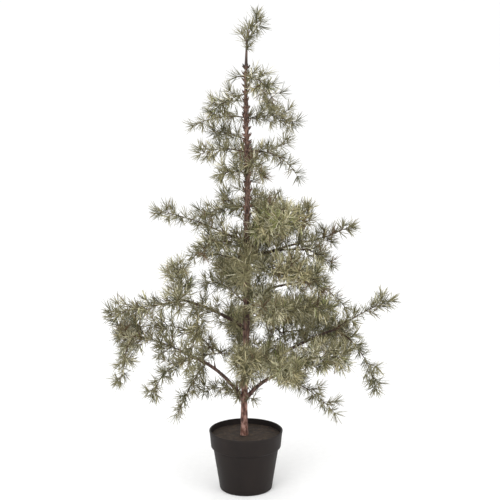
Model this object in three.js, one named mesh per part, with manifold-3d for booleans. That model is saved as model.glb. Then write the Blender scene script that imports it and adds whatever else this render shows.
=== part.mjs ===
// A potted artificial cedar tree, 1.2 m high: a slim trunk with wired boughs and loose masses of
// needles, set in a cast plug inside a plain round nursery pot.
// Millimetres, +Z up. The origin is the centre of the pot's flat underside, and the tree's front
// faces -Y. Headings are degrees round the trunk from +X towards +Y, so 0 is right, 90 is back.
import * as THREE from "three";
import { mergeVertices } from "three/addons/utils/BufferGeometryUtils.js";
import Module from "manifold-3d";

const wasm = await Module();
wasm.setup();

const TREE_HEIGHT = 1200;
const GAP = 0.4;

const POT_HEIGHT = 152;
const POT_FOOT_RADIUS = 65.5;
const POT_BODY_RADIUS = 81;
const POT_BAND_HEIGHT = 42;
const POT_BAND_RADIUS = 87;
const POT_RIM_RADIUS = 91.5;
const POT_WALL = 3;
const POT_EDGE = 4;
const POT_SIDES = 32;

const FILLER_TOP = POT_HEIGHT - 13;
const FILLER_MOUND = 4;

const TRUNK_FOOT = 60;
const TRUNK_TIP = 1135;
const TRUNK_RADIUS = 9;
const TRUNK_TAPER = 0.28;
const TRUNK_TIP_TAPER = 1.15;
const TRUNK_TIP_SHARE = 0.13;
const TRUNK_FLARE = 2;
const TRUNK_FLARE_HEIGHT = 18;
const TRUNK_LEAN = [-4, -4, 0, 2, 3, 4, 0, 3];
const TRUNK_SIDES = 10;
const TRUNK_STEPS = 20;

const BOUGH_SIDES = 6;
const BOUGH_STEPS = 6;
const BOUGH_TAPER = 0.6;
const BOUGH_END = 14;

const MASS_SIDES = 7;
const MASS_RINGS = 6;
const MASS_LUMPS = 0.24;
const MASS_BLUNTNESS = 0.25;
const FACET_TOLERANCE = 0.1;

// One main bough a row: the height where it leaves the trunk, its end as a heading, a reach from
// the trunk's axis and a height, how far it arches above a straight line, and its root radius.
const BOUGHS = {
  low_left: { root: 226, end: [203, 158, 362], arch: 24, radius: 4.8 },
  low_right: { root: 232, end: [340, 142, 322], arch: 20, radius: 5 },
  right_inner: { root: 305, end: [32, 112, 384], arch: 0, radius: 4.2 },
  right_outer: { root: 290, end: [353, 226, 420], arch: 10, radius: 4 },
  left_upper: { root: 410, end: [212, 190, 512], arch: 10, radius: 4 },
  right_low: { root: 480, end: [17, 140, 514], arch: 14, radius: 3.6 },
  right_long: { root: 575, end: [20, 172, 620], arch: 8, radius: 3.6 },
  mid_right: { root: 590, end: [340, 146, 620], arch: 8, radius: 3.6 },
  mid_left: { root: 625, end: [195, 66, 655], arch: 4, radius: 3.8 },
};

// One foliage mass a row: what it grows from (a bough's end, a height on the trunk, or a place), its
// tip as a heading, a reach and a height, its arch and the radius of its fullest part.
const MASSES = {
  leader: { from: 1066, tip: [2, 54, 1178], arch: 26, girth: 33 },
  crest_right: { from: 1004, tip: [326, 84, 952], arch: 44, girth: 35 },
  crest_left: { from: 974, tip: [208, 98, 936], arch: 20, girth: 32 },
  upper_right: { from: 918, tip: [6, 126, 900], arch: 26, girth: 31 },
  upper_left: { from: 930, tip: [168, 146, 898], arch: 16, girth: 22 },
  upper_left_low: { from: 876, tip: [138, 118, 884], arch: 8, girth: 24 },
  left_high: { from: 846, tip: [197, 128, 842], arch: 14, girth: 26 },
  left_high_low: { from: 788, tip: [226, 102, 792], arch: 18, girth: 31 },
  right_high: { from: 828, tip: [32, 134, 866], arch: 0, girth: 22 },
  right_high_tip: { from: 838, tip: [352, 134, 780], arch: 36, girth: 24 },
  right_high_hang: { from: 812, tip: [300, 94, 786], arch: 22, girth: 28 },
  back_high: { from: 800, tip: [92, 130, 828], arch: 12, girth: 29 },

  shoulder_left: { from: 708, tip: [140, 138, 668], arch: 18, girth: 35 },
  shoulder_right: { from: 712, tip: [60, 132, 692], arch: 10, girth: 32 },
  mid_left_tip: { from: "mid_left", tip: [185, 230, 710], arch: 10, girth: 26 },
  mid_left_low: { from: 604, tip: [220, 144, 624], arch: 24, girth: 37 },
  mid_left_grey: { from: 572, tip: [163, 156, 582], arch: 16, girth: 25 },
  mid_right_full: { from: 650, tip: [322, 154, 700], arch: 8, girth: 45 },
  mid_right_tuft: { from: "mid_right", tip: [336, 172, 738], arch: 10, girth: 25 },
  right_long: { from: "right_long", tip: [11, 274, 668], arch: -8, girth: 29 },
  right_mid: { from: "mid_right", tip: [343, 222, 570], arch: 14, girth: 38 },
  mid_right_low: { from: 566, tip: [322, 232, 560], arch: 10, girth: 38 },
  right_trailing: { from: "right_low", tip: [10, 258, 444], arch: 24, girth: 27 },
  front_mid: { from: 590, tip: [268, 196, 560], arch: 28, girth: 34 },
  back_mid: { from: 596, tip: [68, 214, 632], arch: 14, girth: 38 },
  back_mid_low: { from: 488, tip: [106, 226, 512], arch: 26, girth: 35 },
  left_clump: { from: "left_upper", tip: [212, 196, 590], arch: -10, girth: 42 },
  left_thin: { from: 482, tip: [150, 132, 516], arch: 14, girth: 25 },

  left_outer_top: { from: "left_upper", tip: [190, 344, 462], arch: 0, girth: 31 },
  left_inner: { from: [153, 112, 366], tip: [158, 270, 396], arch: 14, girth: 31 },
  left_outer: { from: "low_left", tip: [180, 318, 398], arch: 12, girth: 43 },
  left_hang_outer: { from: [190, 286, 372], tip: [182, 312, 266], arch: 16, girth: 32 },
  left_hang_mid: { from: "low_left", tip: [202, 250, 260], arch: 20, girth: 34 },
  left_hang_inner: { from: [200, 118, 314], tip: [193, 180, 188], arch: 10, girth: 36 },
  front_left: { from: [226, 160, 448], tip: [234, 240, 350], arch: 8, girth: 34 },
  left_low_back: { from: 336, tip: [140, 168, 300], arch: 16, girth: 31 },
  low_left_thin: { from: 246, tip: [166, 132, 240], arch: 12, girth: 22 },
  front_low: { from: 312, tip: [270, 208, 330], arch: 42, girth: 35 },
  front_right: { from: 470, tip: [304, 154, 476], arch: 16, girth: 39 },
  right_front: { from: [318, 158, 484], tip: [321, 272, 506], arch: 8, girth: 33 },
  right_low_top: { from: "right_inner", tip: [14, 262, 364], arch: 24, girth: 38 },
  right_low_mid: { from: "low_right", tip: [338, 256, 344], arch: 28, girth: 40 },
  right_low_near: { from: 322, tip: [313, 184, 316], arch: 28, girth: 43 },
  right_outer_tip: { from: "right_outer", tip: [357, 368, 494], arch: 6, girth: 26 },
  right_hang_outer: { from: "right_outer", tip: [351, 330, 254], arch: 44, girth: 27 },
  right_hanging: { from: [340, 92, 296], tip: [344, 236, 204], arch: 16, girth: 35 },
  back_low: { from: 318, tip: [94, 272, 366], arch: 28, girth: 40 },
  back_right: { from: [54, 96, 404], tip: [47, 278, 392], arch: 22, girth: 42 },
};

const POT_COLOR = 0x2e2b29;
const FILLER_COLOR = 0x4a3527;
const BARK_COLOR = 0x6f4a3d;
const NEEDLE_COLORS = [0x7f8468, 0x6e7560, 0x8a8b6c, 0x757c6f];

const degrees = Math.PI / 180;

function place([heading, reach, height]) {
  const turn = heading * degrees;
  return new THREE.Vector3(reach * Math.cos(turn), reach * Math.sin(turn), height);
}

function seeded(seed) {
  let state = seed;
  return () => {
    state = (state * 16807) % 2147483647;
    return state / 2147483647;
  };
}

// ---- Solids ----

function solidOf(geometry) {
  const bare = geometry.clone();
  bare.deleteAttribute("normal");
  bare.deleteAttribute("uv");
  const merged = mergeVertices(bare, 1e-4);
  return new wasm.Manifold(
    new wasm.Mesh({
      numProp: 3,
      vertProperties: new Float32Array(merged.attributes.position.array),
      triVerts: new Uint32Array(merged.index.array),
    }),
  );
}

function geometryOf(solid) {
  const mesh = solid.getMesh();
  const geometry = new THREE.BufferGeometry();
  geometry.setAttribute("position", new THREE.BufferAttribute(mesh.vertProperties, 3));
  geometry.setIndex(new THREE.BufferAttribute(mesh.triVerts, 1));
  const faceted = geometry.toNonIndexed();
  faceted.computeVertexNormals();
  return faceted;
}

function largestPiece(solid) {
  const pieces = solid.simplify(FACET_TOLERANCE).decompose();
  return pieces.reduce((best, piece) => (piece.volume() > best.volume() ? piece : best));
}

// Bends a unit solid that stands on Y (-1 to 1) along a curve in an upright plane. width(along, turn)
// is the radius at a share of the length and an angle round it.
function bend(geometry, curve, side, width) {
  const points = geometry.attributes.position;
  const out = new THREE.Vector3();
  for (let i = 0; i < points.count; i++) {
    const along = (points.getY(i) + 1) / 2;
    const across = points.getX(i);
    const over = points.getZ(i);
    const radius = width(along, Math.atan2(over, across));
    const up = new THREE.Vector3().crossVectors(side, curve.getTangent(along)).normalize();
    out.copy(curve.getPoint(along));
    out.addScaledVector(side, across * radius);
    out.addScaledVector(up, over * radius);
    points.setXYZ(i, out.x, out.y, out.z);
  }
  return geometry;
}

function sideOf(start, tip) {
  const chord = new THREE.Vector3().subVectors(tip, start).setZ(0).normalize();
  return new THREE.Vector3(chord.y, -chord.x, 0);
}

function archOf(start, tip, arch) {
  const middle = new THREE.Vector3().addVectors(start, tip).multiplyScalar(0.5);
  middle.z += arch * 2;
  return new THREE.QuadraticBezierCurve3(start, middle, tip);
}

// ---- Pot and filler ----

function potProfile() {
  const bandFoot = POT_HEIGHT - POT_BAND_HEIGHT;
  const floorRadius = POT_FOOT_RADIUS - POT_EDGE;
  const profile = new THREE.Path();
  profile.moveTo(0, 0);
  profile.lineTo(floorRadius, 0);
  profile.absarc(floorRadius, POT_EDGE, POT_EDGE, -Math.PI / 2, 0, false);
  profile.lineTo(POT_BODY_RADIUS, bandFoot - 5);
  profile.lineTo(POT_BAND_RADIUS - 1, bandFoot);
  profile.lineTo(POT_BAND_RADIUS, bandFoot + 2);
  profile.lineTo(POT_RIM_RADIUS, POT_HEIGHT - 2);
  profile.lineTo(POT_RIM_RADIUS - 1, POT_HEIGHT);
  profile.lineTo(POT_RIM_RADIUS - POT_WALL + 1, POT_HEIGHT);
  profile.lineTo(POT_RIM_RADIUS - POT_WALL, POT_HEIGHT - 2);
  profile.lineTo(POT_BODY_RADIUS - POT_WALL, bandFoot - 5);
  profile.lineTo(POT_FOOT_RADIUS - POT_WALL, POT_WALL);
  profile.lineTo(0, POT_WALL);
  return profile.getPoints(3);
}

function standingLathe(points) {
  return new THREE.LatheGeometry(points, POT_SIDES).rotateX(Math.PI / 2);
}

function insideRadius(height) {
  const bandFoot = POT_HEIGHT - POT_BAND_HEIGHT - 5;
  const foot = POT_FOOT_RADIUS - POT_WALL;
  const body = POT_BODY_RADIUS - POT_WALL;
  const rim = POT_RIM_RADIUS - POT_WALL;
  if (height < bandFoot) {
    return THREE.MathUtils.mapLinear(height, POT_WALL, bandFoot, foot, body);
  }
  return THREE.MathUtils.mapLinear(height, bandFoot, POT_HEIGHT - 2, body, rim);
}

function fillerProfile() {
  const bandFoot = POT_HEIGHT - POT_BAND_HEIGHT - 5;
  const foot = POT_WALL + GAP;
  return [
    new THREE.Vector2(0, foot),
    new THREE.Vector2(insideRadius(foot) - GAP, foot),
    new THREE.Vector2(insideRadius(bandFoot) - GAP, bandFoot),
    new THREE.Vector2(insideRadius(FILLER_TOP) - GAP, FILLER_TOP),
    new THREE.Vector2(insideRadius(FILLER_TOP) * 0.5, FILLER_TOP + FILLER_MOUND * 0.8),
    new THREE.Vector2(0, FILLER_TOP + FILLER_MOUND),
  ];
}

// ---- Trunk and boughs ----

const trunkCurve = new THREE.CatmullRomCurve3(
  TRUNK_LEAN.map((lean, i) => {
    const height = THREE.MathUtils.lerp(TRUNK_FOOT, TRUNK_TIP, i / (TRUNK_LEAN.length - 1));
    return new THREE.Vector3(lean, 0, height);
  }),
);

function trunkRadius(height) {
  const share = height / TREE_HEIGHT;
  const flare = TRUNK_FLARE * Math.exp(-Math.max(0, height - FILLER_TOP) / TRUNK_FLARE_HEIGHT);
  const taper = 1 - TRUNK_TAPER * share - TRUNK_TIP_TAPER * share ** 8;
  return TRUNK_RADIUS * Math.max(taper, TRUNK_TIP_SHARE) + flare;
}

function trunkSolid(spare) {
  const unit = new THREE.CylinderGeometry(1, 1, 2, TRUNK_SIDES, TRUNK_STEPS);
  const side = new THREE.Vector3(0, -1, 0);
  const width = (along) => trunkRadius(THREE.MathUtils.lerp(TRUNK_FOOT, TRUNK_TIP, along)) + spare;
  return solidOf(bend(unit, trunkCurve, side, width));
}

function onTrunk(height) {
  const share = (height - TRUNK_FOOT) / (TRUNK_TIP - TRUNK_FOOT);
  return trunkCurve.getPoint(THREE.MathUtils.clamp(share, 0, 1));
}

function boughCurve(bough) {
  return archOf(onTrunk(bough.root), place(bough.end), bough.arch);
}

function boughSolid(bough, spare) {
  const curve = boughCurve(bough);
  const side = sideOf(curve.v0, curve.v2);
  const unit = new THREE.CylinderGeometry(1, 1, 2, BOUGH_SIDES, BOUGH_STEPS);
  const width = (along) => bough.radius * (1 - BOUGH_TAPER * along) + spare;
  return solidOf(bend(unit, curve, side, width));
}

// ---- Foliage masses ----

function massStart(from) {
  if (Array.isArray(from)) {
    return place(from);
  }
  if (typeof from === "number") {
    return onTrunk(from);
  }
  const curve = boughCurve(BOUGHS[from]);
  return curve.getPoint(1 - BOUGH_END / curve.getLength());
}

function massSolid(mass, seed, spare) {
  const start = massStart(mass.from);
  const tip = place(mass.tip);
  const curve = archOf(start, tip, mass.arch);
  const random = seeded(seed);
  const waves = [2, 3, 5].map((turns) => ({
    turns,
    rings: 1 + 2 * random(),
    shift: 2 * Math.PI * random(),
  }));
  const width = (along, turn) => {
    const lump = waves.reduce(
      (sum, wave) => sum + Math.sin(wave.turns * turn + wave.rings * 6 * along + wave.shift),
      0,
    );
    const blunt = Math.max(along * (1 - along) * 4, 0.05) ** -MASS_BLUNTNESS;
    return mass.girth * blunt * (1 + (MASS_LUMPS * lump) / 2) + spare;
  };
  const unit = new THREE.SphereGeometry(1, MASS_SIDES, MASS_RINGS);
  return solidOf(bend(unit, curve, sideOf(start, tip), width));
}

// ---- The whole tree ----

const tree = new THREE.Group();

function addPart(name, solid, color, roughness) {
  const material = new THREE.MeshStandardMaterial({ color, roughness, metalness: 0 });
  const mesh = new THREE.Mesh(geometryOf(solid), material);
  mesh.name = name;
  tree.add(mesh);
}

addPart("pot", solidOf(standingLathe(potProfile())), POT_COLOR, 0.55);
addPart("filler", solidOf(standingLathe(fillerProfile())).subtract(trunkSolid(GAP)), FILLER_COLOR, 0.95);
addPart("trunk", trunkSolid(0), BARK_COLOR, 0.8);

let taken = trunkSolid(GAP);
for (const [name, bough] of Object.entries(BOUGHS)) {
  const limb = largestPiece(boughSolid(bough, 0).subtract(taken));
  addPart("bough_" + name, limb, BARK_COLOR, 0.8);
  taken = taken.add(boughSolid(bough, GAP));
}

Object.entries(MASSES).forEach(([name, mass], i) => {
  const foliage = largestPiece(massSolid(mass, i + 11, 0).subtract(taken));
  addPart("foliage_" + name, foliage, NEEDLE_COLORS[i % NEEDLE_COLORS.length], 0.85);
  taken = taken.add(massSolid(mass, i + 11, GAP));
});

export default tree;
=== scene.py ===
"""Looks of a potted artificial cedar tree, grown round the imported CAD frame.

The trunk, boughs, pot and filler are remade with their surface relief. Each foliage mass of the
frame is read as a spine with a radius, and wired twigs and tufts of needles grow along it by one
seeded branching rule. Metres, +Z up, the tree's front faces -Y.
"""
import math

import bpy
import numpy as np
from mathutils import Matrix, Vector, noise


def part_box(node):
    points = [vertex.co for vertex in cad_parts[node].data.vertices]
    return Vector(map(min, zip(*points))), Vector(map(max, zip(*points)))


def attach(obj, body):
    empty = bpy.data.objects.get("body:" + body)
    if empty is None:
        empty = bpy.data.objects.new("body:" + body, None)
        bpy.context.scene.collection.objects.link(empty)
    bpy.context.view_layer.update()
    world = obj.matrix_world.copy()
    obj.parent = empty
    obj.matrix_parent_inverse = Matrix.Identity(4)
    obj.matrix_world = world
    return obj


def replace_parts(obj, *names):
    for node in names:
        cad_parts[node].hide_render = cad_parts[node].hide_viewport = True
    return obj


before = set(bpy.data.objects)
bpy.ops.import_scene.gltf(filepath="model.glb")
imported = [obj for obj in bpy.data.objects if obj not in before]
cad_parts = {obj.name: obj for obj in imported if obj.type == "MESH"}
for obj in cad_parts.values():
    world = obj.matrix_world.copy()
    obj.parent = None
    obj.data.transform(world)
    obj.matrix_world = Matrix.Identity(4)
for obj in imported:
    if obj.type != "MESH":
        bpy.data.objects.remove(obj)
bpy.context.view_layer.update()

SEED = 25
BOUGH_TWIG_SEED = 900
TRUNK_TWIG_SEED = 950
GOLDEN_ANGLE = math.radians(137.5)
UP = np.array([0.0, 0.0, 1.0])

# Camera: a long lens, looking a little down on the tree.
CAMERA_DISTANCE = 3.70
CAMERA_HEIGHT = 1.406
CAMERA_SIDE = 0.0101
CAMERA_PITCH = math.radians(12.16)
CAMERA_LENS = 112.3
CAMERA_SENSOR = 36.0

# Light: an even white surround and two wide lamps.
WORLD_STRENGTH = 1.14
LIT_PLACE = (0, 0, 0.6)
# Each lamp: its name, where it stands, how wide it is and its power.
LIGHTS = (
    ("key_light", (-1.2, -3.0, 3.0), 2.4, 75),
    ("fill_light", (2.4, -1.8, 1.8), 2.0, 24),
)

# How many places a centre line read from the frame has.
SPINE_PLACES = 33

# Twigs
TWIG_STEP = 0.007
TWIG_SIDES = 5
TWIG_TIP_RADIUS = 0.0006
SIDE_TWIG_GAP = 0.0095
SIDE_TWIG_RADIUS = 0.0010
SIDE_TWIG_ANGLE = (46, 70)
LAST_TWIG_GAP = 0.012
LAST_TWIG_SHARE = 0.5
SPRAY_MARGIN = 0.015
SLIM_MASS = 0.030

# Short twigs on the boughs: they grow wherever a mass of foliage is nearer than the spray reach,
# and some boughs have a reach of their own.
BOUGH_TWIG_GAP = 0.010
BOUGH_TWIG_REACH = (0.012, 0.030)
BOUGH_SPRAY_REACH = 0.026
OWN_SPRAY_REACH = {"bough_low_left": 0.004, "bough_low_right": 0.004, "bough_left_upper": 0.060}

# The trunk carries short twigs of its own between these heights, but none that face the front.
TRUNK_TWIGS_FROM = 0.50
TRUNK_TWIGS_TO = 0.80
TRUNK_TWIG_GAP = 0.009
TRUNK_TWIG_REACH = (0.014, 0.034)
TRUNK_FRONT = -0.2

# The leader: how far below its mass its needles start, and how far up the mass's line it ends.
LEADER = "foliage_leader"
LEADER_DROP = 0.026
LEADER_END = 0.70

# The old leaf bases on the trunk
KNOTS_FROM = 0.26
KNOTS_TO = 1.055
KNOT_GAP_LOW = 0.028
KNOT_GAP_HIGH = 0.0155
KNOT_SWELLING = (0.10, 0.22, 0.55, 0.60)
STUB_LENGTH = (0.008, 0.013)
STUB_RADIUS = (0.0018, 0.0028)
SCALE_LENGTH = (0.0025, 0.0050)

# Broken side shoots that stand up from a bough: its name, the share of its length, and how long.
BROKEN_SPURS = (("bough_low_left", 0.60, 0.021), ("bough_low_left", 0.20, 0.026))

# Tufts and needles
TUFT_GAP = 0.0100
TUFT_ANGLE = (45, 75)
TUFT_SPREAD = math.radians(50)
END_TUFT_SPREAD = math.radians(66)
ODD_NEEDLES = 0.45
TUFT_NEEDLES = (9, 14)
END_TUFT_NEEDLES = (17, 24)
NEEDLE_LENGTH = (0.023, 0.034)
NEEDLE_WIDTH = (0.0014, 0.0020)
NEEDLE_FLATNESS = 0.6
NEEDLE_BEND = 0.16
NEEDLE_RINGS = (0.0, 0.4, 0.78)
NEEDLE_RING_WIDTHS = (0.6, 1.0, 0.75)
NEEDLE_CORNERS = 3
NEEDLES_IN_PIECE = 10000

# Needle colours, linear.
NEEDLE_COLORS = {
    "olive": (0.215, 0.196, 0.104),
    "moss": (0.088, 0.086, 0.042),
    "khaki": (0.640, 0.575, 0.345),
    "grey_green": (0.590, 0.570, 0.385),
    "pale": (0.800, 0.755, 0.560),
    "blue_grey": (0.135, 0.152, 0.118),
    "fresh": (0.290, 0.320, 0.110),
    "brown": (0.140, 0.086, 0.046),
}
# What a needle of each colour, in that order, turns to where it hangs free of its neighbours. Its
# crowding is the count of needles round its cell, as a share of the count at a high percentile.
OPEN_COLORS = ("moss", "moss", "olive", "olive", "olive", "moss", "moss", "brown")
CROWD_CELL = 0.020
CROWD_PERCENTILE = 86
OPEN_LIMIT = 1.30

# How often a spray of each tone takes each of the colours, in that order.
TONES = {
    "plain": (3, 0.8, 6, 4.5, 3.5, 0.6, 1.2, 0.9),
    "grey": (2, 0.5, 3, 7, 4, 1.2, 0.5, 0.7),
    "bright": (3, 0.5, 6, 3, 4, 0.3, 3, 0.6),
    "dark": (4, 1.5, 4.5, 4, 2.5, 0.8, 1, 2),
}

# The pot: its foot, wall and band as shares of its rim's radius, and its thickness.
POT_FOOT_SHARE = 0.7158
POT_BODY_SHARE = 0.8852
POT_BAND_SHARE = 0.9508
POT_BAND_HEIGHT = 0.042
POT_WALL = 0.003

# The filler's solid: its depth, and how far below its node's top its edge and its level lie.
FILLER_DEPTH = 0.026
FILLER_EDGE_DROP = 0.012
FILLER_TOP_DROP = 0.004

FLOOR_HALF = 40


# ---- Reading the frame ----

def node_corners(name):
    """The corners of a node's triangles, as an array of (triangle, corner, xyz)."""
    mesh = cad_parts[name].data
    mesh.calc_loop_triangles()
    points = np.empty(len(mesh.vertices) * 3)
    mesh.vertices.foreach_get("co", points)
    corners = np.empty(len(mesh.loop_triangles) * 3, np.int32)
    mesh.loop_triangles.foreach_get("vertices", corners)
    return points.reshape(-1, 3)[corners].reshape(-1, 3, 3)


def unit(vectors):
    vectors = np.asarray(vectors, float)
    return vectors / np.maximum(np.linalg.norm(vectors, axis=-1, keepdims=True), 1e-12)


def spine_of(name, bins=8):
    """A node's centre line and its radius along it, by fitting a bent rod to its faces."""
    corners = node_corners(name)
    centres = corners.mean(1)
    weights = np.linalg.norm(
        np.cross(corners[:, 1] - corners[:, 0], corners[:, 2] - corners[:, 0]), axis=1
    )
    middle = np.average(centres, axis=0, weights=weights)
    spread = (centres - middle) * np.sqrt(weights)[:, None]
    axis = np.linalg.svd(spread, full_matrices=False)[2][0]
    reach = (corners.reshape(-1, 3) - middle) @ axis
    share = ((centres - middle) @ axis - reach.min()) / np.ptp(reach)
    places = np.linspace(0, 1, SPINE_PLACES)
    for _ in range(3):
        powers = np.stack([np.ones_like(share), share, share**2], 1) * np.sqrt(weights)[:, None]
        terms = np.linalg.lstsq(powers, centres * np.sqrt(weights)[:, None], rcond=None)[0]
        line = np.stack([np.ones_like(places), places, places**2], 1) @ terms
        gaps = np.linalg.norm(centres[:, None] - line[None], axis=2)
        share = places[gaps.argmin(1)]
    away = np.linalg.norm(corners.reshape(-1, 3)[:, None] - line[None], axis=2)
    nearest = places[away.argmin(1)]
    edges = np.linspace(0, 1, bins + 1)
    widths = []
    for low, high in zip(edges[:-1], edges[1:]):
        inside = (nearest >= low) & (nearest <= high)
        widths.append(np.percentile(away.min(1)[inside], 70) if inside.any() else 0.0)
    radius = np.interp(places, (edges[:-1] + edges[1:]) / 2, widths)
    return line, radius


def trunk_line():
    """The trunk's centre line and radius by height: its node stands in level rings."""
    points = node_corners("trunk").reshape(-1, 3)
    heights = np.unique(np.round(points[:, 2], 3))
    line = []
    radius = []
    for height in heights:
        ring = points[np.abs(points[:, 2] - height) < 0.004]
        centre = (ring.min(0) + ring.max(0)) / 2
        line.append(centre)
        radius.append(np.linalg.norm((ring - centre)[:, :2], axis=1).mean())
    return np.array(line), np.array(radius)


# ---- Lines and meshes ----

def lengths_along(line):
    return np.concatenate([[0], np.cumsum(np.linalg.norm(np.diff(line, axis=0), axis=1))])


def resample(line, step, *values):
    """The line again at even steps, and any values that go along it."""
    along = lengths_along(line)
    places = np.linspace(0, along[-1], max(2, int(round(along[-1] / step)) + 1))
    out = [np.stack([np.interp(places, along, line[:, i]) for i in range(3)], 1)]
    out += [np.interp(places, along, value) for value in values]
    return out if values else out[0]


def smooth(line, rounds=2):
    line = line.copy()
    for _ in range(rounds):
        line[1:-1] = (line[:-2] + 2 * line[1:-1] + line[2:]) / 4
    return line


def tangents(line):
    return unit(np.gradient(line, axis=0))


def frames(line):
    """Two directions across the line at each place, carried along it without twist."""
    forward = tangents(line)
    start = UP if abs(forward[0][2]) < 0.9 else np.array([1.0, 0.0, 0.0])
    across = []
    side = unit(np.cross(forward[0], start))
    for tangent in forward:
        side = unit(side - tangent * (side @ tangent))
        across.append(side)
    across = np.array(across)
    return forward, across, np.cross(forward, across)


class Shape:
    """Points and faces gathered from many small closed solids."""

    def __init__(self):
        self.points = []
        self.quads = []
        self.triangles = []
        self.count = 0

    def add(self, points, quads=(), triangles=()):
        self.points.append(points)
        if len(quads):
            self.quads.append(np.asarray(quads) + self.count)
        if len(triangles):
            self.triangles.append(np.asarray(triangles) + self.count)
        self.count += len(points)

    def tube(self, line, radius, sides, swell=None):
        """A closed tube along a line. swell(angles) gives a radius factor for each of its points."""
        _, across, over = frames(line)
        angles = np.linspace(0, 2 * np.pi, sides, endpoint=False)
        radii = np.repeat(np.asarray(radius)[:, None], sides, 1)
        if swell is not None:
            radii = radii * swell(angles)
        ring = across[:, None] * np.cos(angles)[None, :, None]
        ring = ring + over[:, None] * np.sin(angles)[None, :, None]
        body = (line[:, None] + ring * radii[..., None]).reshape(-1, 3)
        count = len(line)
        row = np.arange(sides)
        after = (row + 1) % sides
        rows = np.arange(count - 1)[:, None] * sides
        quads = np.stack([rows + row, rows + after, rows + sides + after, rows + sides + row], -1)
        first, last = count * sides, count * sides + 1
        ends = [np.stack([after, row, np.full(sides, first)], 1)]
        top = (count - 1) * sides
        ends.append(np.stack([top + row, top + after, np.full(sides, last)], 1))
        points = np.concatenate([body, line[:1], line[-1:]])
        self.add(points, quads.reshape(-1, 4), np.concatenate(ends))

    def piece(self, name, material, slot, shade_smooth):
        """Makes the gathered solids one mesh object that rides on the tree's body."""
        quads = np.concatenate(self.quads) if self.quads else np.zeros((0, 4), int)
        triangles = np.concatenate(self.triangles) if self.triangles else np.zeros((0, 3), int)
        mesh = bpy.data.meshes.new(name)
        points = np.concatenate(self.points).astype(np.float32)
        mesh.vertices.add(len(points))
        mesh.vertices.foreach_set("co", points.ravel())
        corners = np.concatenate([quads.ravel(), triangles.ravel()]).astype(np.int32)
        mesh.loops.add(len(corners))
        mesh.loops.foreach_set("vertex_index", corners)
        starts = np.concatenate([
            np.arange(len(quads)) * 4,
            len(quads) * 4 + np.arange(len(triangles)) * 3,
        ]).astype(np.int32)
        mesh.polygons.add(len(starts))
        mesh.polygons.foreach_set("loop_start", starts)
        mesh.polygons.foreach_set("use_smooth", np.full(len(starts), shade_smooth))
        mesh.update(calc_edges=True)
        mesh.validate()
        mesh.materials.append(material)
        made = bpy.data.objects.new(name, mesh)
        bpy.context.scene.collection.objects.link(made)
        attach(made, "root")
        return made


# ---- Materials ----

def new_material(name, roughness):
    material = bpy.data.materials.new(name)
    material.use_nodes = True
    shader = material.node_tree.nodes["Principled BSDF"]
    shader.inputs["Roughness"].default_value = roughness
    return material, material.node_tree, shader


def node(tree, kind, inputs=(), **settings):
    made = tree.nodes.new(kind)
    for key, value in settings.items():
        setattr(made, key, value)
    for key, value in dict(inputs).items():
        made.inputs[key].default_value = value
    return made


def pattern(tree, scale, detail=4.0, stretch=(1, 1, 1), roughness=0.6):
    """Noise that falls in the object's own metres."""
    place = node(tree, "ShaderNodeTexCoord")
    mapping = node(tree, "ShaderNodeMapping", {"Scale": stretch})
    noise_node = node(
        tree, "ShaderNodeTexNoise", {"Scale": scale, "Detail": detail, "Roughness": roughness}
    )
    tree.links.new(place.outputs["Object"], mapping.inputs["Vector"])
    tree.links.new(mapping.outputs["Vector"], noise_node.inputs["Vector"])
    return noise_node.outputs["Fac"]


def ramp(tree, value, stops):
    made = node(tree, "ShaderNodeValToRGB")
    elements = made.color_ramp.elements
    while len(elements) < len(stops):
        elements.new(0.5)
    for element, (position, color) in zip(elements, stops):
        element.position = position
        element.color = (*color, 1)
    tree.links.new(value, made.inputs["Fac"])
    return made.outputs["Color"]


def grey_ramp(tree, value, stops):
    return ramp(tree, value, [(position, (level,) * 3) for position, level in stops])


def mixed(tree, share, first, second, blend="MIX"):
    made = node(tree, "ShaderNodeMix", data_type="RGBA", blend_type=blend)
    for socket, value in ((0, share), (6, first), (7, second)):
        if isinstance(value, bpy.types.NodeSocket):
            tree.links.new(value, made.inputs[socket])
        else:
            made.inputs[socket].default_value = value
    return made.outputs[2]


def bump(tree, shader, height, strength, distance, normal=None):
    made = node(tree, "ShaderNodeBump", {"Strength": strength, "Distance": distance})
    tree.links.new(height, made.inputs["Height"])
    if normal is not None:
        tree.links.new(normal, made.inputs["Normal"])
    tree.links.new(made.outputs["Normal"], shader.inputs["Normal"])
    return made.outputs["Normal"]


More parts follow.
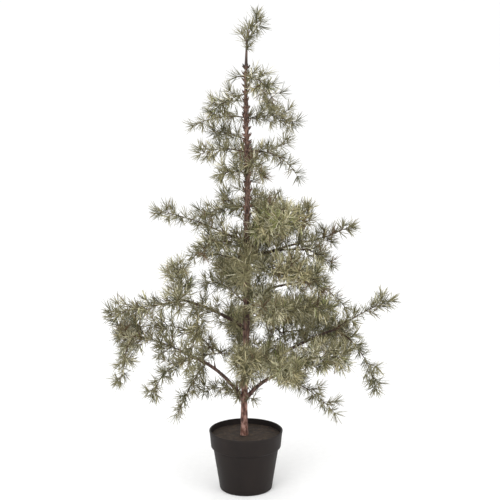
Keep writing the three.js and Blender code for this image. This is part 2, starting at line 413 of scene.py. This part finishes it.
def bark_material(name, painted_shade_factor):
    """Wound bark: dark red-brown with worn ridges, paler near the foot, dark on the bare tip."""
    material, tree, shader = new_material(name, 0.72)
    grain = pattern(tree, 260, 6, (1, 1, 0.16))
    dapple = pattern(tree, 115, 4, (1, 1, 0.5), 0.5)
    blotch = pattern(tree, 38, 3, (1, 1, 0.4))
    low = ramp(tree, dapple, [
        (0.36, (0.055, 0.020, 0.013)),
        (0.48, (0.180, 0.078, 0.055)),
        (0.60, (0.450, 0.265, 0.218)),
    ])
    high = ramp(tree, grain, [
        (0.36, (0.032, 0.015, 0.010)),
        (0.50, (0.115, 0.058, 0.040)),
        (0.66, (0.340, 0.205, 0.155)),
    ])
    place = node(tree, "ShaderNodeTexCoord")
    split = node(tree, "ShaderNodeSeparateXYZ")
    tree.links.new(place.outputs["Object"], split.inputs["Vector"])
    climb = node(tree, "ShaderNodeMapRange", {"From Min": 0.20, "From Max": 0.42})
    tree.links.new(split.outputs["Z"], climb.inputs["Value"])
    color = mixed(tree, climb.outputs["Result"], low, high)
    # This factor darkens all the bark evenly. A value below 1 is painted shade.
    shade = grey_ramp(tree, blotch, [(0.35, 0.62 * painted_shade_factor), (0.65, painted_shade_factor)])
    color = mixed(tree, 1.0, color, shade, "MULTIPLY")
    top = {"From Min": 1.03, "From Max": 1.06, "To Min": 1.0, "To Max": 0.3}
    dim = node(tree, "ShaderNodeMapRange", top)
    tree.links.new(split.outputs["Z"], dim.inputs["Value"])
    dim = grey_ramp(tree, dim.outputs["Result"], [(0, 0), (1, 1)])
    color = mixed(tree, 1.0, color, dim, "MULTIPLY")
    tree.links.new(color, shader.inputs["Base Color"])
    bump(tree, shader, grain, 0.7, 0.0012)
    return material


def twig_material():
    material, tree, shader = new_material("twig_bark", 0.75)
    grain = pattern(tree, 420, 4)
    color = ramp(tree, grain, [
        (0.35, (0.030, 0.014, 0.010)),
        (0.60, (0.085, 0.042, 0.028)),
        (0.80, (0.160, 0.100, 0.065)),
    ])
    tree.links.new(color, shader.inputs["Base Color"])
    bump(tree, shader, grain, 0.5, 0.0005)
    return material


def needle_material(name, color):
    """A dusty moulded needle: one base colour, a little uneven, with a low waxy sheen."""
    material, tree, shader = new_material("needles_" + name, 0.58)
    shader.inputs["Specular IOR Level"].default_value = 0.3
    speckle = pattern(tree, 180, 2)
    color = np.array(color)
    shades = ramp(tree, speckle, [
        (0.30, tuple(color * 0.78)),
        (0.70, tuple(np.minimum(color * 1.18, 1))),
    ])
    tree.links.new(shades, shader.inputs["Base Color"])
    bump(tree, shader, speckle, 0.15, 0.0003)
    return material


def pot_material():
    """Matt black moulded plastic with a fine grain and faint dust, its edges lightened as a painted
    highlight.
    """
    material, tree, shader = new_material("pot_plastic", 0.5)
    shader.inputs["Specular IOR Level"].default_value = 0.18
    grain = pattern(tree, 1400, 3)
    cloud = pattern(tree, 22, 5, (1, 1, 0.35))
    base = ramp(tree, cloud, [
        (0.30, (0.0085, 0.0058, 0.0050)),
        (0.62, (0.0132, 0.0092, 0.0080)),
        (0.85, (0.0225, 0.0165, 0.0145)),
    ])
    geometry = node(tree, "ShaderNodeNewGeometry")
    # Painted highlight: edges picked out by pointiness are mixed towards a pale grey.
    edge = grey_ramp(tree, geometry.outputs["Pointiness"], [(0.515, 0.0), (0.58, 0.18)])
    color = mixed(tree, edge, base, (0.11, 0.105, 0.10, 1))
    tree.links.new(color, shader.inputs["Base Color"])
    gloss = grey_ramp(tree, cloud, [(0.3, 0.48), (0.75, 0.66)])
    tree.links.new(gloss, shader.inputs["Roughness"])
    bump(tree, shader, grain, 0.25, 0.0003)
    return material


def filler_material():
    """Rough dark brown cast filler, mottled, with painted shade in its pits."""
    material, tree, shader = new_material("filler", 0.9)
    lumps = pattern(tree, 90, 8)
    grit = pattern(tree, 700, 4)
    color = ramp(tree, lumps, [
        (0.30, (0.012, 0.007, 0.003)),
        (0.52, (0.036, 0.020, 0.010)),
        (0.75, (0.072, 0.044, 0.024)),
    ])
    # Painted shade: the low spots of the grit, which also sets the fine bump, are darkened.
    pit_shade = grey_ramp(tree, grit, [(0.38, 0.45), (0.55, 1.0)])
    tree.links.new(mixed(tree, 1.0, color, pit_shade, "MULTIPLY"), shader.inputs["Base Color"])
    normal = bump(tree, shader, lumps, 0.8, 0.003)
    bump(tree, shader, grit, 0.5, 0.0008, normal)
    return material


def floor_material():
    material, tree, shader = new_material("floor", 0.85)
    speck = pattern(tree, 60, 3)
    tree.links.new(
        ramp(tree, speck, [(0.3, (0.88, 0.88, 0.88)), (0.7, (0.91, 0.91, 0.91))]),
        shader.inputs["Base Color"],
    )
    return material


# ---- Growing ----

class Crown:
    """The twigs and needles, gathered as they grow."""

    def __init__(self):
        self.twigs = Shape()
        self.needles = []

    def twig(self, line, start_radius, end_radius):
        self.twigs.tube(line, np.linspace(start_radius, end_radius, len(line)), TWIG_SIDES)

    def tuft(self, random, place, axis, spread, count, color, tone):
        """A burst of needles from one place, in a cone round its axis, some in another colour."""
        axis = unit(axis)
        side = unit(np.cross(axis, UP + 0.01))
        over = np.cross(axis, side)
        tilt = spread * np.sqrt(random.uniform(0.03, 1.0, count))
        turn = random.uniform(0, 2 * np.pi, count)
        direction = axis * np.cos(tilt)[:, None]
        direction = direction + side * (np.sin(tilt) * np.cos(turn))[:, None]
        direction = direction + over * (np.sin(tilt) * np.sin(turn))[:, None]
        length = random.uniform(*NEEDLE_LENGTH, count)
        bend = random.normal(0, 0.5, (count, 3)) + UP * 0.5
        odd = random.choice(len(NEEDLE_COLORS), count, p=tone)
        self.needles.append((
            np.repeat(place[None], count, 0) + random.normal(0, 0.0008, (count, 3)),
            unit(direction),
            length,
            bend * NEEDLE_BEND,
            random.uniform(*NEEDLE_WIDTH, count),
            np.where(random.random(count) < ODD_NEEDLES, odd, color),
        ))

    def tufts_along(self, random, line, gap, tone, turn):
        """Tufts spiral along a twig, with a fuller one on its tip."""
        color = random.choice(len(NEEDLE_COLORS), p=tone)
        places = resample(line, gap)
        forward, across, over = frames(places)
        for i in range(1, len(places) - 1):
            turn += GOLDEN_ANGLE
            out = across[i] * math.cos(turn) + over[i] * math.sin(turn)
            lean = math.radians(random.uniform(*TUFT_ANGLE))
            axis = forward[i] * math.cos(lean) + out * math.sin(lean)
            if random.random() < 0.35:
                color = random.choice(len(NEEDLE_COLORS), p=tone)
            count = random.integers(*TUFT_NEEDLES)
            self.tuft(random, places[i], axis, TUFT_SPREAD, count, color, tone)
        count = random.integers(*END_TUFT_NEEDLES)
        self.tuft(random, places[-1], forward[-1], END_TUFT_SPREAD, count, color, tone)

    def side_twig(self, random, start, heading, reach, lift, tone, turn, order):
        """One side twig with its tufts, and on a long one, smaller twigs to either hand."""
        share = np.linspace(0, 1, 6)[:, None]
        line = start + heading * share * reach + lift * share**2 * reach
        self.twig(line, SIDE_TWIG_RADIUS, TWIG_TIP_RADIUS)
        self.tufts_along(random, line, TUFT_GAP, tone, turn)
        if order > 1 or reach < 2 * LAST_TWIG_GAP:
            return
        places = resample(line, LAST_TWIG_GAP)
        forward, across, over = frames(places)
        for i in range(1, len(places) - 1):
            turn += GOLDEN_ANGLE
            out = across[i] * math.cos(turn) + over[i] * math.sin(turn)
            left = reach * (1 - i / len(places)) * LAST_TWIG_SHARE + 0.006
            away = unit(forward[i] * 0.6 + out)
            self.side_twig(random, places[i], away, left, UP * 0.05, tone, turn, order + 1)

    def spray(self, random, line, radius, tone):
        """The branching rule: a leading twig, and side twigs that spiral round it inside its mass."""
        turn = random.uniform(0, 2 * np.pi)
        along = lengths_along(line)
        self.twig(line, 0.0011 + 0.005 * along[-1], TWIG_TIP_RADIUS)
        self.tufts_along(random, line, TUFT_GAP, tone, turn)
        gap = SIDE_TWIG_GAP * np.clip(SLIM_MASS / np.median(radius), 0.68, 1.0)
        places, width = resample(line, gap, radius)
        forward, across, over = frames(places)
        for i in range(1, len(places) - 1):
            turn += GOLDEN_ANGLE
            reach = width[i] * random.uniform(0.85, 1.15) - SPRAY_MARGIN
            if reach < 0.004:
                continue
            out = across[i] * math.cos(turn) + over[i] * math.sin(turn)
            lean = math.radians(random.uniform(*SIDE_TWIG_ANGLE))
            heading = forward[i] * math.cos(lean) + out * math.sin(lean)
            lift = forward[i] * 0.25 + UP * random.uniform(-0.1, 0.25)
            reach = reach / math.sin(lean)
            self.side_twig(random, places[i], heading, reach, lift, tone, turn, 1)

    def clothe_bough(self, random, line, masses, beside, tone):
        """Short twigs on a bough wherever it runs inside or beside a mass of foliage."""
        places = resample(line, BOUGH_TWIG_GAP)
        forward, across, over = frames(places)
        turn = random.uniform(0, 2 * np.pi)
        for i in range(2, len(places)):
            gaps = [
                (np.linalg.norm(spine - places[i], axis=1) - radius).min()
                for spine, radius in masses
            ]
            turn += GOLDEN_ANGLE
            reach = random.uniform(*BOUGH_TWIG_REACH)
            if min(gaps) > beside:
                continue
            out = across[i] * math.cos(turn) + over[i] * math.sin(turn)
            heading = unit(forward[i] * 0.6 + out)
            self.side_twig(random, places[i], heading, reach, UP * 0.1, tone, turn, 2)

    def clothe_trunk(self, random, line, masses, tone):
        """Short upturned twigs on the trunk beside its masses."""
        places = resample(line, TRUNK_TWIG_GAP)
        turn = 0.0
        for place in places:
            turn += GOLDEN_ANGLE
            out = np.array([math.cos(turn), math.sin(turn), 0.0])
            reach = random.uniform(*TRUNK_TWIG_REACH)
            gaps = [
                (np.linalg.norm(spine - place, axis=1) - radius).min()
                for spine, radius in masses
            ]
            if not TRUNK_TWIGS_FROM < place[2] < TRUNK_TWIGS_TO:
                continue
            if min(gaps) > BOUGH_SPRAY_REACH or out[1] < TRUNK_FRONT:
                continue
            self.side_twig(random, place, unit(out + UP * 0.35), reach, UP * 0.1, tone, turn, 2)


def chosen_tone(name):
    """The colouring of a mass: most are plain, and some read greyer, brighter or darker."""
    for tone, words in {
        "grey": ("grey", "back_high", "right_outer", "low_left_thin", "leader"),
        "bright": ("right_front", "crest_right", "front_left", "mid_right_full", "right_low_mid"),
        "dark": ("left_outer", "low_near", "mid_left_low", "left_hang_mid", "upper_left_low"),
    }.items():
        if any(word in name for word in words):
            return tone
    return "plain"


def tone_weights(tone):
    weights = np.array(TONES[tone], float)
    return weights / weights.sum()


def leader_spray(trunk, line, radius):
    """The leader follows the trunk's tip up through its mass and on to the mass's own end."""
    low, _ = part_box(LEADER)
    if line[0][2] > line[-1][2]:
        line, radius = line[::-1], radius[::-1]
    foot = trunk[trunk[:, 2] > low[2] - LEADER_DROP]
    end = line[int(len(line) * LEADER_END)]
    line = smooth(resample(np.concatenate([foot, end[None]]), TWIG_STEP), 6)
    radius = np.full(len(line), np.median(radius))
    return np.random.default_rng(SEED), line, radius, tone_weights("grey")


def grow_crown(trunk, boughs, masses):
    """Joins each mass's spine to the nearest wood, nearest first, and grows its spray."""
    crown = Crown()
    skeleton = [resample(line, 0.006) for line in [trunk, *boughs.values()]]
    waiting = {name: spine_of(name) for name in masses}
    crown.spray(*leader_spray(trunk, *waiting.pop(LEADER)))
    spines = list(waiting.values())
    tone = tone_weights("plain")
    for k, (name, line) in enumerate(boughs.items()):
        beside = OWN_SPRAY_REACH.get(name, BOUGH_SPRAY_REACH)
        crown.clothe_bough(np.random.default_rng(BOUGH_TWIG_SEED + k), line, spines, beside, tone)
    crown.clothe_trunk(np.random.default_rng(TRUNK_TWIG_SEED), trunk, spines, tone)
    order = 0
    while waiting:
        wood = np.concatenate(skeleton)
        best = None
        for name, (line, _) in waiting.items():
            for end in (0, -1):
                gaps = np.linalg.norm(wood - line[end], axis=1)
                if best is None or gaps.min() < best[0]:
                    best = (gaps.min(), name, end, wood[gaps.argmin()])
        _, name, end, joint = best
        line, radius = waiting.pop(name)
        if end == -1:
            line, radius = line[::-1], radius[::-1]
        keep = lengths_along(line) < lengths_along(line)[-1] - SPRAY_MARGIN
        line = np.concatenate([joint[None], line[keep]])
        radius = np.concatenate([radius[:1], radius[keep]])
        line, radius = resample(line, TWIG_STEP, radius)
        line = smooth(line)
        random = np.random.default_rng(SEED + order)
        crown.spray(random, line, radius, tone_weights(chosen_tone(name)))
        skeleton.append(line)
        order += 1
    return crown


# ---- Pieces ----

def shaded_by_crowd(base, color):
    """Each needle's colour, darker where few other needles grow near it."""
    cells = np.floor((base - base.min(0)) / CROWD_CELL).astype(int) + 1
    grid = np.zeros(cells.max(0) + 2)
    np.add.at(grid, tuple(cells.T), 1)
    for axis in range(3):
        grid = grid + np.roll(grid, 1, axis) + np.roll(grid, -1, axis)
    crowd = grid[tuple(cells.T)]
    share = crowd / np.percentile(crowd, CROWD_PERCENTILE)
    names = list(NEEDLE_COLORS)
    darker = np.array([names.index(name) for name in OPEN_COLORS])
    open_ones = np.random.default_rng(SEED).random(len(base)) < OPEN_LIMIT - share
    return np.where(open_ones, darker[color], color)


def needle_pieces(crown):
    """All needles as joined closed slivers: pieces of one colour, none of them too heavy."""
    base, direction, length, bend, width, color = (
        np.concatenate(part) for part in zip(*crown.needles)
    )
    color = shaded_by_crowd(base, color)
    side = unit(np.cross(direction, UP + 0.3 * unit(bend)))
    over = np.cross(direction, side)
    share = np.array([*NEEDLE_RINGS, 1.0])
    middle = base[:, None] + direction[:, None] * (length[:, None] * share)[..., None]
    middle = middle + bend[:, None] * (length[:, None] * share**2)[..., None]
    angles = np.linspace(0, 2 * np.pi, NEEDLE_CORNERS, endpoint=False)
    ring = side[:, None] * np.cos(angles)[None, :, None]
    ring = ring + over[:, None] * (NEEDLE_FLATNESS * np.sin(angles))[None, :, None]
    half = width[:, None] / 2 * np.array(NEEDLE_RING_WIDTHS)
    rings = middle[:, :-1, None] + ring[:, None] * half[..., None, None]
    points = np.concatenate([rings.reshape(len(base), -1, 3), middle[:, -1:]], 1)
    row = np.arange(NEEDLE_CORNERS)
    after = (row + 1) % NEEDLE_CORNERS
    steps = len(NEEDLE_RINGS) - 1
    quads = np.concatenate([
        np.stack([row, after, after + NEEDLE_CORNERS, row + NEEDLE_CORNERS], 1) + k * NEEDLE_CORNERS
        for k in range(steps)
    ])
    tip = len(NEEDLE_RINGS) * NEEDLE_CORNERS
    top = steps * NEEDLE_CORNERS
    triangles = np.concatenate([
        np.stack([top + row, top + after, np.full(NEEDLE_CORNERS, tip)], 1),
        row[None, ::-1],
    ])
    pieces = []
    for k, (name, shade) in enumerate(NEEDLE_COLORS.items()):
        chosen = points[color == k]
        material = needle_material(name, shade)
        for part in range(0, len(chosen), NEEDLES_IN_PIECE):
            needles = chosen[part:part + NEEDLES_IN_PIECE]
            starts = (np.arange(len(needles)) * points.shape[1])[:, None, None]
            shape = Shape()
            shape.add(
                needles.reshape(-1, 3),
                (quads[None] + starts).reshape(-1, 4),
                (triangles[None] + starts).reshape(-1, 3),
            )
            number = part // NEEDLES_IN_PIECE + 1
            pieces.append(shape.piece(f"needles_{name}_{number}", material, "needles", False))
    return pieces


def bark_swell(line, sides, depth, seed):
    """Radius factors that give a limb its long ridges and furrows."""
    def swell(angles):
        factors = np.empty((len(line), sides))
        for i, place in enumerate(line):
            for j, angle in enumerate(angles):
                around = Vector((math.cos(angle), math.sin(angle), 0))
                ridge = noise.noise(around * 2.6 + Vector((0, 0, place[2] * 26 + seed)))
                lump = noise.noise(around * 0.9 + Vector((seed, 0, place[2] * 60)))
                factors[i, j] = 1 + depth * ridge + 0.6 * depth * lump
        return factors
    return swell


def knot_heights():
    """Where the trunk has a ring of old leaf bases: far apart low down, close together high up."""
    random = np.random.default_rng(SEED)
    heights = []
    height = KNOTS_FROM
    while height < KNOTS_TO:
        heights.append(height)
        share = (height - KNOTS_FROM) / (KNOTS_TO - KNOTS_FROM)
        height += KNOT_GAP_LOW + (KNOT_GAP_HIGH - KNOT_GAP_LOW) * share
        height += random.uniform(-0.003, 0.003)
    return np.array(heights)


def knotted(line, radius, knots):
    """The trunk's radius with a swelling under each knot and a narrower neck above it."""
    height = line[:, 2]
    strength = np.interp(height, [KNOTS_FROM, 0.62, 0.80, KNOTS_TO], KNOT_SWELLING)
    below = np.searchsorted(knots, height)
    low = knots[np.clip(below - 1, 0, len(knots) - 1)]
    high = knots[np.clip(below, 0, len(knots) - 1)]
    share = np.clip((height - low) / np.maximum(high - low, 1e-6), 0, 1)
    return radius * (1 + strength * (share**2 - 0.45))


def make_trunk(line, radius, material):
    line, radius = resample(line, 0.0020, radius)
    radius = knotted(line, radius, knot_heights())
    shape = Shape()
    shape.tube(line, radius, 32, bark_swell(line, 32, 0.16, 0))
    return shape.piece("trunk_bark", material, "bark", True)


def make_boughs(boughs, material):
    shape = Shape()
    for k, (line, radius) in enumerate(boughs.values()):
        line, radius = resample(line, 0.0025, radius)
        shape.tube(smooth(line), radius, 14, bark_swell(line, 14, 0.22, 5 * k))
    return shape.piece("shaded_bough_bark", material, "bark", True)


def add_stub(shape, foot, out, rise, long, thick):
    """One upstanding woody scale: thick at its foot and bent upwards to a blunt point."""
    share = np.linspace(0, 1, 5)[:, None]
    line = foot + out * share * long + rise * share**1.4 * long
    shape.tube(line, thick * np.array([1.0, 1.0, 0.8, 0.5, 0.12]), 6)


def make_scars(trunk, material):
    """The leaf bases left round each knot, and small scales between them."""
    random = np.random.default_rng(SEED + 1)
    line, radius = trunk
    shape = Shape()
    turn = 0.0
    for height in knot_heights():
        crowd = np.interp(height, [KNOTS_FROM, 0.62, 0.80], [0.25, 0.5, 1.0])
        for _ in range(int(round(2 + 5 * crowd))):
            turn += GOLDEN_ANGLE + random.normal(0, 0.3)
            level = height - random.uniform(0.001, 0.006)
            centre = np.array([np.interp(level, line[:, 2], line[:, i]) for i in range(3)])
            wide = np.interp(level, line[:, 2], radius)
            out = np.array([math.cos(turn), math.sin(turn), 0.0])
            long = random.uniform(*STUB_LENGTH) * (0.45 + 0.55 * crowd)
            thick = random.uniform(*STUB_RADIUS) * (0.6 + 0.4 * crowd)
            rise = UP * random.uniform(0.7, 1.5)
            add_stub(shape, centre + out * wide * 0.75, out, rise, long * 0.7, thick)
    for level in np.arange(KNOTS_FROM, KNOTS_TO, 0.0022):
        crowd = np.interp(level, [KNOTS_FROM, 0.62, 0.80], [0.1, 0.45, 1.0])
        if random.random() > crowd:
            continue
        turn += GOLDEN_ANGLE + random.normal(0, 0.3)
        centre = np.array([np.interp(level, line[:, 2], line[:, i]) for i in range(3)])
        wide = np.interp(level, line[:, 2], radius)
        out = np.array([math.cos(turn), math.sin(turn), 0.0])
        long = random.uniform(*SCALE_LENGTH)
        rise = UP * random.uniform(0.5, 1.6)
        add_stub(shape, centre + out * wide * 0.8, out, rise, long, long * 0.3)
    return shape.piece("trunk_scars", material, "bark", False)


def make_bough_stubs(boughs, material):
    """Short broken spurs on the upper side of each bough."""
    random = np.random.default_rng(SEED + 2)
    shape = Shape()
    for line, radius in boughs.values():
        places, wide = resample(line, 0.011, radius)
        forward, across, over = frames(places)
        turn = random.uniform(0, 2 * np.pi)
        for i in range(2, len(places)):
            turn += GOLDEN_ANGLE
            out = across[i] * math.cos(turn) + over[i] * math.sin(turn)
            long = random.uniform(0.002, 0.006)
            foot = places[i] + out * wide[i] * 0.7
            add_stub(shape, foot, out, forward[i] * 0.6 + UP * 0.3, long, long * 0.33)
    for name, share, long in BROKEN_SPURS:
        line, radius = boughs[name]
        k = int(share * len(line))
        add_stub(shape, line[k], unit(line[k] - line[0]) * 0.2, UP * 0.9, long, radius[k] * 0.75)
    return shape.piece("bough_scars", material, "bark", False)


def lathe(profile, sides):
    """A closed solid of revolution from an outline that starts and ends on the axis."""
    profile = np.asarray(profile, float)
    ring = profile[1:-1]
    angles = np.linspace(0, 2 * np.pi, sides, endpoint=False)
    body = np.stack([
        ring[:, None, 0] * np.cos(angles),
        ring[:, None, 0] * np.sin(angles),
        np.repeat(ring[:, 1:], sides, 1),
    ], -1).reshape(-1, 3)
    row = np.arange(sides)
    after = (row + 1) % sides
    rows = np.arange(len(ring) - 1)[:, None] * sides
    quads = np.stack([rows + row, rows + after, rows + sides + after, rows + sides + row], -1)
    first = len(body)
    top = (len(ring) - 1) * sides
    ends = np.concatenate([
        np.stack([after, row, np.full(sides, first)], 1),
        np.stack([top + row, top + after, np.full(sides, first + 1)], 1),
    ])
    poles = [[0, 0, profile[0][1]], [0, 0, profile[-1][1]]]
    shape = Shape()
    shape.add(np.concatenate([body, poles]), quads.reshape(-1, 4), ends)
    return shape


def arc(centre, radius, start, end, count=7):
    turns = np.radians(np.linspace(start, end, count))
    return [(centre[0] + radius * math.cos(t), centre[1] + radius * math.sin(t)) for t in turns]


def node_radius(name, height, tolerance=0.0025):
    """How far a round node reaches from the axis near a height."""
    points = node_corners(name).reshape(-1, 3)
    level = points[np.abs(points[:, 2] - height) < tolerance]
    return np.linalg.norm(level[:, :2], axis=1).max()


def make_pot(material):
    """The pot, turned smooth: a rounded foot, a plain wall, a stepped band and a rolled rim."""
    _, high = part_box("pot")
    top = high[2]
    rim = high[0]
    foot = rim * POT_FOOT_SHARE
    body = rim * POT_BODY_SHARE
    band = rim * POT_BAND_SHARE
    band_foot = top - POT_BAND_HEIGHT
    profile = [(0, 0)]
    profile += arc((foot - 0.005, 0.005), 0.005, -90, -5)
    profile += [
        (foot + (body - foot) * k, 0.006 + (band_foot - 0.012) * k) for k in (0.2, 0.5, 0.8, 0.98)
    ]
    profile += arc((body + 0.0015, band_foot - 0.004), 0.0015, 180, 100, 5)
    profile += arc((band - 0.0018, band_foot + 0.001), 0.0018, -80, 0, 6)
    profile += [
        (band + (rim - 0.001 - band) * k, band_foot + 0.001 + 0.036 * k) for k in (0.15, 0.5, 0.9)
    ]
    profile += arc((rim - 0.0021, top - 0.0021), 0.0021, 0, 180, 11)
    profile += [
        (rim - POT_WALL - 0.0015, top - 0.006),
        (body - POT_WALL, band_foot),
        (foot - POT_WALL, POT_WALL),
        (0, POT_WALL),
    ]
    made = lathe(profile, 160).piece("pot_shell", material, "pot", True)
    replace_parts(made, "pot")
    return made


def make_filler(trunk, material):
    """The cast filler's uneven top, banked a little against the trunk."""
    _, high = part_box("filler")
    edge = node_radius("filler", high[2] - 0.0045)
    foot = high[2] - FILLER_DEPTH
    level = high[2] - FILLER_TOP_DROP
    profile = [(0, foot), (edge - 0.005, foot), (edge, high[2] - FILLER_EDGE_DROP)]
    profile += [(edge * (1 - share), level) for share in np.linspace(0, 1, 46)[:-1]]
    profile += [(0, level)]
    shape = lathe(profile, 120)
    points = shape.points[0]
    for point in points[points[:, 2] > high[2] - 0.006]:
        away = math.hypot(point[0] - trunk[0][0], point[1])
        swell = noise.fractal(Vector(point) * 55, 1.0, 2.0, 4) * 0.0021
        swell += noise.noise(Vector(point) * 18) * 0.002
        point[2] += swell + 0.005 * math.exp(-((away / 0.02) ** 2)) - 0.0005
    made = shape.piece("filler_top", material, "filler", True)
    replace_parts(made, "filler")
    return made


# ---- Stage ----

def make_camera():
    data = bpy.data.cameras.new("camera")
    data.sensor_width = CAMERA_SENSOR
    data.lens = CAMERA_LENS
    data.clip_end = 100
    camera = bpy.data.objects.new("camera", data)
    camera.location = (CAMERA_SIDE, -CAMERA_DISTANCE, CAMERA_HEIGHT)
    camera.rotation_euler = (math.pi / 2 - CAMERA_PITCH, 0, 0)
    bpy.context.scene.collection.objects.link(camera)
    bpy.context.scene.camera = camera


def area_light(name, place, size, power):
    data = bpy.data.lights.new(name, "AREA")
    data.shape = "DISK"
    data.size = size
    data.energy = power
    light = bpy.data.objects.new(name, data)
    light.location = place
    light.rotation_euler = (Vector(LIT_PLACE) - Vector(place)).to_track_quat("-Z", "Y").to_euler()
    bpy.context.scene.collection.objects.link(light)


def make_stage():
    world = bpy.data.worlds.new("world")
    world.use_nodes = True
    background = world.node_tree.nodes["Background"]
    background.inputs["Color"].default_value = (1, 1, 1, 1)
    background.inputs["Strength"].default_value = WORLD_STRENGTH
    bpy.context.scene.world = world
    bpy.context.scene.view_settings.view_transform = "Standard"
    for light in LIGHTS:
        area_light(*light)
    floor = bpy.data.meshes.new("floor")
    corners = [
        (x * FLOOR_HALF, y * FLOOR_HALF, 0) for x, y in ((-1, -1), (1, -1), (1, 1), (-1, 1))
    ]
    floor.from_pydata(corners, [], [(0, 1, 2, 3)])
    floor.materials.append(floor_material())
    stage = bpy.data.objects.new("floor", floor)
    bpy.context.scene.collection.objects.link(stage)


def bough_lines(names, trunk):
    """Each bough's centre line and radius, from inside the trunk outwards."""
    boughs = {}
    for name in names:
        line, radius = spine_of(name)
        if math.hypot(*line[-1][:2]) < math.hypot(*line[0][:2]):
            line, radius = line[::-1], radius[::-1]
        thick, thin = np.median(radius[4:16]), np.median(radius[17:29])
        foot = [
            [np.interp(line[0][2] - drop, trunk[0][:, 2], trunk[0][:, i]) for i in range(3)]
            for drop in (0.020, 0.008)
        ]
        line = smooth(resample(np.concatenate([foot, line]), 0.005), 4)
        boughs[name] = (line, np.linspace(thick * 1.3, thin * 0.8, len(line)))
    return boughs


def main():
    make_camera()
    make_stage()
    bark = bark_material("bark", 1.0)
    # The boughs' bark is the same bark at half its lightness: painted shade.
    shaded_bough_bark = bark_material("shaded_bough_bark", 0.5)
    names = sorted(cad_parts)
    bough_names = [name for name in names if name.startswith("bough_")]
    masses = [name for name in names if name.startswith("foliage_")]
    trunk = trunk_line()
    boughs = bough_lines(bough_names, trunk)
    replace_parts(make_trunk(*trunk, bark), "trunk")
    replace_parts(make_boughs(boughs, shaded_bough_bark), *bough_names)
    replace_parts(make_scars(trunk, bark), "trunk")
    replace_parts(make_bough_stubs(boughs, shaded_bough_bark), *bough_names)
    crown = grow_crown(trunk[0], {name: line for name, (line, _) in boughs.items()}, masses)
    twigs = crown.twigs.piece("twigs", twig_material(), "bark", True)
    for piece in [twigs, *needle_pieces(crown)]:
        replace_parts(piece, *masses)
    make_pot(pot_material())
    make_filler(trunk[0], filler_material())


main()
